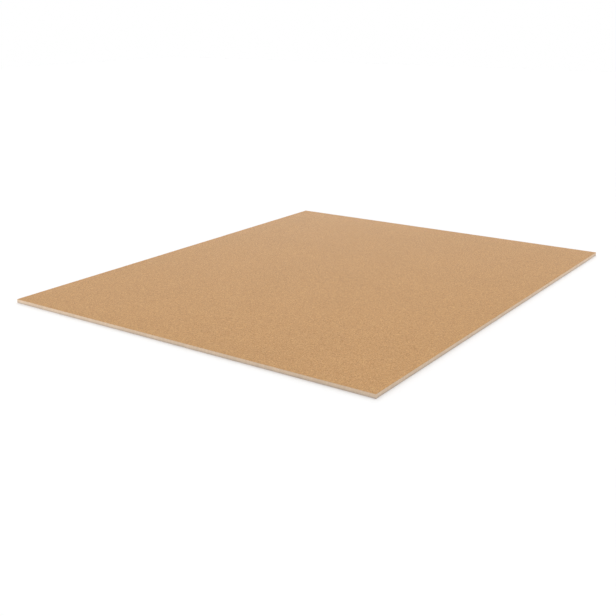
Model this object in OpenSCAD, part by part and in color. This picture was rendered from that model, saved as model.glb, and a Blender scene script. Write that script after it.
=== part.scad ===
// A rectangular sheet of solid fibreboard, lying flat on its underside.
// It is one pressed and sawn panel: two sanded faces, four square-cut edges, and a light pass
// of abrasive along every sharp edge.
// X runs along the length, Y across the width and Z up through the thickness. The origin is
// at the middle of the underside.

/* [Sheet] */
// Length of the sheet, along X
sheet_length = 1200; // [600:10:2440]
// Width of the sheet, along Y
sheet_width = 1000; // [400:10:1220]
// Thickness of the board, along Z
board_thickness = 9.5; // [3:0.5:30]

/* [Arrises] */
// Width taken off each arris where a face meets a sawn edge
face_arris = 0.4; // [0.1:0.1:1]
// Width taken off each upright corner where two sawn edges meet
corner_arris = 0.6; // [0.1:0.1:3]

/* [Hidden] */

// Tan of the sanded wood fibre
fibre_tan = [0.79, 0.63, 0.475];
// Half of each size, measured out from the middle of the sheet
half_length = sheet_length / 2;
half_width = sheet_width / 2;
half_thickness = board_thickness / 2;

// A rectangle about the origin, given by its half sizes, with its corners eased at 45 degrees
module eased_rectangle(half_x, half_y, ease) {
    polygon([
        [half_x, half_y - ease],
        [half_x - ease, half_y],
        [ease - half_x, half_y],
        [-half_x, half_y - ease],
        [-half_x, ease - half_y],
        [ease - half_x, -half_y],
        [half_x - ease, -half_y],
        [half_x, ease - half_y]
    ]);
}

// The sawn outline seen from above, which eases the four upright corners
module plan_of_sheet() {
    linear_extrude(height = board_thickness)
        eased_rectangle(half_length, half_width, corner_arris);
}

// The section across the sheet, run along its length: it eases the arrises of the long edges
module section_along_length() {
    translate([0, 0, half_thickness])
        rotate([90, 0, 90])
            linear_extrude(height = sheet_length, center = true)
                eased_rectangle(half_width, half_thickness, face_arris);
}

// The section along the sheet, run across its width: it eases the arrises of the short edges
module section_across_width() {
    translate([0, 0, half_thickness])
        rotate([90, 0, 0])
            linear_extrude(height = sheet_width, center = true)
                eased_rectangle(half_length, half_thickness, face_arris);
}

// The whole sheet is what the three have in common, so its eased arrises meet in mitres
module fibreboard_sheet() {
    color(fibre_tan)
        intersection() {
            plan_of_sheet();
            section_along_length();
            section_across_width();
        }
}

fibreboard_sheet();
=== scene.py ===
import math

import bmesh
import bpy
from mathutils import Matrix, Quaternion, Vector, noise


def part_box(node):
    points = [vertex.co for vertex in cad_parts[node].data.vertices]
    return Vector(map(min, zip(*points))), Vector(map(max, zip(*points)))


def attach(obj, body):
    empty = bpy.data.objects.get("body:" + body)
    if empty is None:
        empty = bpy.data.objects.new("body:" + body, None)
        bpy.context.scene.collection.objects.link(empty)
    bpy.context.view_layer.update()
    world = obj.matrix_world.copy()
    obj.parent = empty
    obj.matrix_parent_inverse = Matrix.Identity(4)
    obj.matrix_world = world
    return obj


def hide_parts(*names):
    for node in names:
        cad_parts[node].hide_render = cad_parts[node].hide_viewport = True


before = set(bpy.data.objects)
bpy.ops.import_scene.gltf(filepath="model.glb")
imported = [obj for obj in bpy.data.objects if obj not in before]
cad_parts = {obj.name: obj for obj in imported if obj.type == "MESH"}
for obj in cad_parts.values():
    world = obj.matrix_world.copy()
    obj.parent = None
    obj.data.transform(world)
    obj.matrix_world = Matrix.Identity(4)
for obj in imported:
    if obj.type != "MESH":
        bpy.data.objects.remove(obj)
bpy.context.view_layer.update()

# A flat sheet of solid fibreboard: two sanded faces, four sawn edges, eased arrises.
# Sizes are in metres. X runs along the sheet, Y across it and Z up from its underside.

MM = 0.001
LOW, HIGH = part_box("fibreboard_sheet")
SIZE = HIGH - LOW
CENTRE = (LOW + HIGH) / 2

# How the sheet's rim is cut and worn
ARRIS = 0.4 * MM            # radius of every eased arris
RIM = 0.9 * MM              # how far in from a side the saw and the abrasive leave marks
SAW_PITCH = 4.2 * MM        # from one tooth mark to the next along a sawn edge
SAW_SLANT = 0.35            # how far a tooth mark leans as it crosses the thickness
SAW_DEPTH = 0.05 * MM
FUZZ_DEPTH = 0.09 * MM      # loose fibre torn out between the marks
FUZZ_SIZE = 1.3 * MM
WORN_BAND = 2 * ARRIS       # how far down an edge its arris is worn
WORN_LEAST = 0.04 * MM      # fibre lifted off an arris everywhere
WORN_MORE = 0.24 * MM       # and the most that is lifted off besides
WORN_DROP = 0.7             # the share of it that goes down into the face as well as inwards
BITE_SIZE = 2.2 * MM
BITE_SHIFT = Vector((7, 3, 1))  # keeps the bites from following the patches
PATCH_SIZE = 9 * MM         # the length of a stretch that has deeper bites, or shallower ones

# How the mesh is graded: coarse over the faces, fine at the rim
FACE_CELL = 50 * MM
RIM_GRADES = ((12 * MM, 12 * MM), (3 * MM, 3 * MM), (RIM, 1.5 * MM))  # (margin, cell)
EDGE_ROWS = 8               # rows of cells through the thickness
HAIR = 0.01 * MM            # a distance too small to matter
SLACK = 0.01                # a share too small to matter
FACE_TILT = 0.9             # a cell belongs to a face, not to an edge, if its normal's Z is over this

# How far a face's grain reaches into the board, so that the two faces don't match
SKIN = 0.4 * SIZE.z

# Nearly all of a noise lies in this range
NOISE_LOW = 0.3
NOISE_HIGH = 0.7
STREAK_FADE = 0.15          # how much higher than where a streak starts the noise is where it is full

# Colours, as linear red, green, blue and alpha
PALE_MAT = (0.583, 0.316, 0.120, 1)
DARK_MAT = (0.425, 0.208, 0.065, 1)
PALE_BUNDLE = (0.690, 0.420, 0.180, 1)
DARK_BUNDLE = (0.255, 0.115, 0.034, 1)
PALE_FIBRE = (0.680, 0.455, 0.240, 1)
DARK_FIBRE = (0.200, 0.100, 0.038, 1)
PALE_CUT = (0.805, 0.643, 0.490, 1)
DARK_CUT = (0.645, 0.473, 0.323, 1)
SKIN_CUT = (0.500, 0.350, 0.230, 1)
# painted shade: a neutral grey laid over the lower part of the sawn edge, standing in for the contact
# shadow where the sheet meets the floor
FOOT_SHADE = (0.420, 0.380, 0.360, 1)
FLOOR_PAINT = (0.800, 0.800, 0.800, 1)
SKY = (1, 1, 1, 1)

# The studio
FLOOR_REACH = 8             # from the floor's middle to each of its sides
FLOOR_GLOW = 0.20           # added where the floor is seen, so that it looks pure white
SKY_LIGHT = 0.7             # what the sky adds to a white surface
BOX_SIZE = 0.1              # the side of a softbox


# ---- putting things in the scene -----------------------------------------------------

def new_object(name, data):
    """Puts a mesh, a lamp or a camera into the scene."""
    thing = bpy.data.objects.new(name, data)
    bpy.context.scene.collection.objects.link(thing)
    return thing


def new_mesh(name, source):
    """Turns a bmesh into an object of the scene."""
    mesh = bpy.data.meshes.new(name)
    source.to_mesh(mesh)
    source.free()
    return new_object(name, mesh)


def turn_to(thing, rotation):
    """Turns a lamp or a camera."""
    thing.rotation_mode = "QUATERNION"
    thing.rotation_quaternion = rotation


def direction(heading, height):
    """A unit vector, so many degrees round from +Y towards +X and so many up from the level."""
    turn = math.radians(heading)
    lift = math.radians(height)
    level = Vector((math.sin(turn), math.cos(turn), 0))
    return level * math.cos(lift) + Vector((0, 0, math.sin(lift)))


# ---- the sheet's mesh ----------------------------------------------------------------

def cut_across(sheet, axis, places):
    """Cuts the mesh through at each of these places on one axis."""
    normal = Vector((0, 0, 0))
    normal[axis] = 1
    for place in places:
        everything = sheet.verts[:] + sheet.edges[:] + sheet.faces[:]
        bmesh.ops.bisect_plane(sheet, geom=everything, plane_co=normal * place, plane_no=normal)


def evenly(axis, count):
    """The places that divide the sheet into count equal parts on one axis."""
    return [LOW[axis] + SIZE[axis] * step / count for step in range(1, count)]


def shorten_cells(sheet, margin, cell):
    """Divides the edges that run along the rim, within margin of a side, to cell or less."""
    by_cuts = {}
    for edge in sheet.edges:
        ends = [vertex.co - CENTRE for vertex in edge.verts]
        run = ends[1] - ends[0]
        cuts = math.ceil(run.length / cell - SLACK) - 1
        for along, across in ((0, 1), (1, 0)):
            beyond = min(abs(end[across]) for end in ends) > SIZE[across] / 2 - margin + HAIR
            straight = abs(run[along]) > (1 - SLACK) * run.length
            if beyond and straight and cuts > 0:
                by_cuts.setdefault(cuts, []).append(edge)
    for cuts, edges in sorted(by_cuts.items()):
        bmesh.ops.subdivide_edges(sheet, edges=edges, cuts=cuts, use_grid_fill=True)


def smooth_noise(place):
    """A noise of about 0 to 1 that changes smoothly over a distance of 1."""
    return 0.5 + 0.5 * noise.noise(place)


def saw_relief(point):
    """How deep the saw has cut below the true edge at this point."""
    along = point.x + point.y + SAW_SLANT * point.z
    tooth = 0.5 + 0.5 * math.sin(math.tau * along / SAW_PITCH)
    return SAW_DEPTH * tooth + FUZZ_DEPTH * smooth_noise(point / FUZZ_SIZE)


def arris_wear(point):
    """How much fibre has lifted off an arris at this point: mostly little, now and then more."""
    patch = smooth_noise(point / PATCH_SIZE)
    bite = smooth_noise(point / BITE_SIZE + BITE_SHIFT)
    return WORN_LEAST + WORN_MORE * patch * patch * bite


def wear_rim(sheet):
    """Moves the rim's vertices inwards by the saw's marks and the arrises' wear."""
    for vertex in sheet.verts:
        point = vertex.co.copy()
        offset = point - CENTRE
        below_face = SIZE.z / 2 - abs(offset.z)
        for axis in (0, 1):
            reach = SIZE[axis] / 2 - abs(offset[axis])
            if reach > RIM - HAIR:
                continue
            closeness = 1 - reach / RIM
            inwards = -math.copysign(closeness, offset[axis])
            vertex.co[axis] += inwards * saw_relief(point)
            if below_face < WORN_BAND:
                worn = arris_wear(point) * (1 - below_face / WORN_BAND)
                vertex.co[axis] += inwards * worn
                vertex.co.z -= math.copysign(closeness * worn * WORN_DROP, offset.z)


def model_sheet(face_finish, edge_finish):
    """The whole sheet as one closed mesh, its rim fine enough to carry the relief."""
    sheet = bmesh.new()
    block = Matrix.Translation(CENTRE) @ Matrix.Diagonal(SIZE.to_4d())
    bmesh.ops.create_cube(sheet, size=1, matrix=block)
    bmesh.ops.bevel(
        sheet, geom=sheet.edges[:], affect="EDGES", offset=ARRIS, segments=2, profile=0.5, material=-1
    )
    for axis in (0, 1):
        cut_across(sheet, axis, evenly(axis, round(SIZE[axis] / FACE_CELL)))
        for margin, _ in RIM_GRADES:
            cut_across(sheet, axis, (LOW[axis] + margin, HIGH[axis] - margin))
    cut_across(sheet, 2, evenly(2, EDGE_ROWS))
    for margin, cell in RIM_GRADES:
        shorten_cells(sheet, margin, cell)
    for face in sheet.faces:
        face.smooth = True
        face.material_index = 0 if abs(face.normal.z) > FACE_TILT else 1
    wear_rim(sheet)
    bmesh.ops.recalc_face_normals(sheet, faces=sheet.faces[:])
    piece = new_mesh("sawn_and_sanded_sheet", sheet)
    piece.data.materials.append(face_finish)
    piece.data.materials.append(edge_finish)
    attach(piece, "root")
    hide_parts("fibreboard_sheet")


# ---- finishes ------------------------------------------------------------------------

class Finish:
    """A material being built up: its methods add nodes, and most return what comes out of them."""

    def __init__(self, name):
        """Starts a material whose patterns are placed from the sheet's middle."""
        self.material = bpy.data.materials.new(name)
        self.material.use_nodes = True
        self.tree = self.material.node_tree
        self.shader = self.tree.nodes["Principled BSDF"]
        place = self.tree.nodes.new("ShaderNodeTexCoord").outputs["Object"]
        middle = {"Vector": place, "Vector_001": CENTRE}
        self.place = self.node("VectorMath", {"operation": "SUBTRACT"}, middle).outputs["Vector"]

    def node(self, kind, settings, sockets):
        """Adds a node, sets its properties, and links or sets its inputs by identifier."""
        new = self.tree.nodes.new("ShaderNode" + kind)
        for name, value in settings.items():
            setattr(new, name, value)
        for socket in new.inputs:
            if socket.identifier in sockets:
                self.feed(socket, sockets[socket.identifier])
        return new

    def feed(self, socket, value):
        """Links an output to this socket, or sets the socket to a plain value."""
        if isinstance(value, bpy.types.NodeSocket):
            self.tree.links.new(value, socket)
        else:
            socket.default_value = value

    def surface(self, inputs):
        """Feeds the shader's own inputs, given by name."""
        for name, value in inputs.items():
            self.feed(self.shader.inputs[name], value)

    def figure(self, operation, first, second):
        """Works out one operation on two values."""
        pair = {"Value": first, "Value_001": second}
        return self.node("Math", {"operation": operation}, pair).outputs["Value"]

    def span(self, value, low, high, to_low=0.0, to_high=1.0):
        """Maps low..high onto to_low..to_high, held at both ends."""
        ends = {"Value": value, "From Min": low, "From Max": high, "To Min": to_low, "To Max": to_high}
        return self.node("MapRange", {}, ends).outputs["Result"]

    def spread(self, pattern, to_low=0.0, to_high=1.0):
        """Maps the usual range of a noise onto to_low..to_high."""
        return self.span(pattern, NOISE_LOW, NOISE_HIGH, to_low, to_high)

    def grain(self, size, detail=2.0, roughness=0.5, turn=0.0):
        """Noise whose features measure size = (x, y, z), turned about Z by so many degrees."""
        turned = self.node("Mapping", {}, {"Vector": self.place, "Rotation": (0, 0, math.radians(turn))})
        scaled = self.node("Mapping", {}, {"Vector": turned.outputs[0], "Scale": [1 / s for s in size]})
        pattern = {"Vector": scaled.outputs[0], "Scale": 1.0, "Detail": detail, "Roughness": roughness}
        return self.node("TexNoise", {}, pattern).outputs["Fac"]

    def fibres(self, turns, length, width, sparse):
        """Streaks lying at each of these angles; sparse is how high the noise must be to show one."""
        total = 0.0
        for turn in turns:
            streaks = self.grain((length, width, SKIN), detail=1.0, turn=turn)
            total = self.figure("ADD", total, self.span(streaks, sparse, sparse + STREAK_FADE))
        return total

    def lay(self, colour, amount, over):
        """Lays a colour over another by amount."""
        layers = {"Factor_Float": amount, "A_Color": over, "B_Color": colour}
        return self.node("Mix", {"data_type": "RGBA"}, layers).outputs[2]

    def vary(self, colour, swings):
        """Makes a colour lighter and darker by each of these (pattern, swing) in turn."""
        for pattern, swing in swings:
            factor = self.spread(pattern, 1 - swing / 2, 1 + swing / 2)
            layers = {"Factor_Float": 1.0, "A_Color": colour, "B_Color": factor}
            mix = self.node("Mix", {"data_type": "RGBA", "blend_type": "MULTIPLY"}, layers)
            colour = mix.outputs[2]
        return colour

    def raise_surface(self, heights, depth, strength):
        """Turns the sum of these (pattern, share) into relief; a sum of 1 stands depth metres high."""
        total = 0.0
        for pattern, share in heights:
            total = self.figure("ADD", total, self.figure("MULTIPLY", pattern, share))
        bump = self.node("Bump", {}, {"Height": total, "Distance": depth, "Strength": strength})
        self.surface({"Normal": bump.outputs["Normal"]})


def sanded_face():
    """Pressed and sanded wood fibre: tan, with pale and dark bundles and fibres lying every way."""
    finish = Finish("sanded_face")
    # Slow changes of tone from the press, the mottle and the grain of the fibre mat, and its dust
    cloud = finish.grain((160 * MM, 160 * MM, SKIN), detail=3.0)
    mottle = finish.grain((14 * MM, 14 * MM, SKIN), detail=4.0, roughness=0.6)
    mat = finish.grain((3.2 * MM, 3.2 * MM, SKIN), detail=3.0, roughness=0.6)
    dust = finish.grain((0.6 * MM, 0.6 * MM, SKIN), detail=1.0)
    # Single fibres: thin streaks, the pale ones in four directions and the dark ones in two
    pale_fibres = finish.fibres((12, 57, 101, 148), length=4.0 * MM, width=0.30 * MM, sparse=0.60)
    dark_fibres = finish.fibres((33, 122), length=2.4 * MM, width=0.40 * MM, sparse=0.64)
    # Bundles of fibre that the refiner left whole: short, broad flecks
    pale_bundles = finish.fibres((5, 50, 95, 140), length=4.8 * MM, width=1.7 * MM, sparse=0.565)
    dark_bundles = finish.fibres((27, 72, 117, 162), length=4.2 * MM, width=1.7 * MM, sparse=0.575)
    # The sanding belt's lines, along the sheet
    belt = finish.grain((350 * MM, 0.7 * MM, SKIN), detail=2.0)

    colour = finish.lay(PALE_MAT, finish.spread(mat), DARK_MAT)
    for tone, streaks, amount in (
        (PALE_BUNDLE, pale_bundles, 0.50),
        (DARK_BUNDLE, dark_bundles, 0.45),
        (PALE_FIBRE, pale_fibres, 0.38),
        (DARK_FIBRE, dark_fibres, 0.50),
    ):
        colour = finish.lay(tone, finish.figure("MULTIPLY", streaks, amount), colour)
    finish.surface({
        "Base Color": finish.vary(colour, ((cloud, 0.04), (mottle, 0.04), (dust, 0.10), (belt, 0.02))),
        "Roughness": finish.spread(mat, 0.80, 0.72),
        "Specular IOR Level": 0.4,
        "Sheen Weight": 0.7,
        "Sheen Roughness": 0.2,
    })
    finish.raise_surface(((pale_fibres, 0.5), (dust, 1.0), (belt, 0.4)), depth=0.03 * MM, strength=0.5)
    return finish.material


def sawn_edge():
    """The cut through the fibre mat: pale, layered, darker at both skins, and with painted shade greying
    its lower part where it meets the floor.
    """
    finish = Finish("sawn_edge")
    height_up = finish.node("SeparateXYZ", {}, {"Vector": finish.place}).outputs["Z"]
    from_middle = finish.figure("ABSOLUTE", height_up, 0.0)
    skin = finish.span(from_middle, 0.38 * SIZE.z, 0.5 * SIZE.z, to_high=0.35)
    # Painted shade: the lower part of the edge gets greyer and darker towards the floor, standing in for
    # the contact shadow there
    painted_foot_shade = finish.span(height_up, 0.0, -0.35 * SIZE.z, to_high=0.45)
    # The mat's layers, the cut ends of its fibres, the saw's tooth marks, and uneven stretches
    layers = finish.grain((2.4 * MM, 2.4 * MM, 0.28 * MM), detail=3.0, roughness=0.6)
    ends = finish.grain((0.5 * MM, 0.5 * MM, 0.35 * MM), detail=2.0)
    teeth = finish.grain((1.8 * MM, 1.8 * MM, 30 * MM), detail=2.0)
    patches = finish.grain((28 * MM, 28 * MM, 60 * MM), detail=2.0)

    colour = finish.lay(PALE_CUT, finish.spread(layers), DARK_CUT)
    colour = finish.lay(SKIN_CUT, skin, colour)
    colour = finish.lay(FOOT_SHADE, painted_foot_shade, colour)
    finish.surface({
        "Base Color": finish.vary(colour, ((ends, 0.16), (teeth, 0.10), (patches, 0.08))),
        "Roughness": finish.spread(ends, 0.75, 0.90),
    })
    finish.raise_surface(((layers, 1.0), (ends, 0.7), (teeth, 1.0)), depth=0.12 * MM, strength=0.6)
    return finish.material


# ---- the studio ----------------------------------------------------------------------

def lay_floor():
    """A white floor that still takes the sheet's shadow."""
    plane = bmesh.new()
    bmesh.ops.create_grid(plane, x_segments=1, y_segments=1, size=FLOOR_REACH)
    floor = new_mesh("studio_floor", plane)
    finish = Finish("white_floor")
    finish.tree.nodes.remove(finish.shader)
    paint = finish.node("BsdfDiffuse", {}, {"Color": FLOOR_PAINT})
    seen = finish.node("LightPath", {}, {}).outputs["Is Camera Ray"]
    glow = finish.node("Emission", {}, {"Strength": finish.figure("MULTIPLY", seen, FLOOR_GLOW)})
    both = finish.node("AddShader", {}, {})
    finish.feed(both.inputs[0], paint.outputs[0])
    finish.feed(both.inputs[1], glow.outputs[0])
    finish.feed(finish.tree.nodes["Material Output"].inputs["Surface"], both.outputs[0])
    floor.data.materials.append(finish.material)


def surround():
    """A white sky, dimmer as a light than it looks when it is seen or mirrored."""
    world = bpy.data.worlds.new("studio")
    world.use_nodes = True
    tree = world.node_tree
    path = tree.nodes.new("ShaderNodeLightPath")
    seen = tree.nodes.new("ShaderNodeMath")
    seen.operation = "MAXIMUM"
    tree.links.new(path.outputs["Is Camera Ray"], seen.inputs[0])
    tree.links.new(path.outputs["Is Glossy Ray"], seen.inputs[1])
    strength = tree.nodes.new("ShaderNodeMapRange")
    strength.inputs["To Min"].default_value = SKY_LIGHT
    tree.links.new(seen.outputs[0], strength.inputs["Value"])
    sky = tree.nodes["Background"]
    sky.inputs["Color"].default_value = SKY
    tree.links.new(strength.outputs[0], sky.inputs["Strength"])
    bpy.context.scene.world = world


def hang_lamp(name, heading, height, width, brightness, mirrored=False):
    """A far, wide white lamp; angles in degrees. It adds brightness to a white surface that faces it."""
    lamp = bpy.data.lights.new(name, "SUN")
    lamp.energy = brightness * math.pi
    lamp.angle = math.radians(width)
    thing = new_object(name, lamp)
    turn_to(thing, direction(heading, height).to_track_quat("Z", "Y"))
    thing.visible_glossy = mirrored


def stand_box(name, target, offset, brightness):
    """A small square softbox, offset from the target that it faces and adds brightness to."""
    lamp = bpy.data.lights.new(name, "AREA")
    lamp.size = BOX_SIZE
    lamp.energy = brightness * math.pi * math.pi * offset.length_squared
    thing = new_object(name, lamp)
    thing.location = target + offset
    turn_to(thing, offset.to_track_quat("Z", "Y"))
    thing.visible_glossy = False
    thing.visible_camera = False


def light_studio():
    """Soft white light from all round, more of it from behind, and two low softboxes at the sides."""
    surround()
    hang_lamp("key_lamp", heading=54, height=45, width=60, brightness=0.40)
    hang_lamp("fill_lamp", heading=214, height=14, width=40, brightness=0.12)
    left_corner = Vector((LOW.x, HIGH.y, 0))
    right_corner = Vector((HIGH.x, LOW.y, 0))
    stand_box("left_box", left_corner, Vector((-0.9, 0.2, 0.06)), brightness=0.25)
    stand_box("right_box", right_corner, Vector((0.2, -0.9, 0.06)), brightness=0.13)
    hang_lamp("back_lamp", heading=54, height=8, width=16, brightness=0.065, mirrored=True)


def place_camera():
    """Looks down along the sheet over its front left corner."""
    aim = Vector((CENTRE.x - 0.2204 * SIZE.x, CENTRE.y - 0.1155 * SIZE.y, HIGH.z))
    distance = 1.7588 * SIZE.x
    lean = math.radians(-0.308)
    gaze = direction(heading=54.86, height=-18.285)
    lens = bpy.data.cameras.new("camera")
    lens.sensor_width = 36
    lens.lens = 53.39
    camera = new_object("camera", lens)
    camera.location = aim - gaze * distance
    turn_to(camera, gaze.to_track_quat("-Z", "Y") @ Quaternion((0, 0, 1), lean))
    bpy.context.scene.camera = camera


place_camera()
lay_floor()
light_studio()
model_sheet(sanded_face(), sawn_edge())
bpy.context.scene.view_settings.view_transform = "Standard"
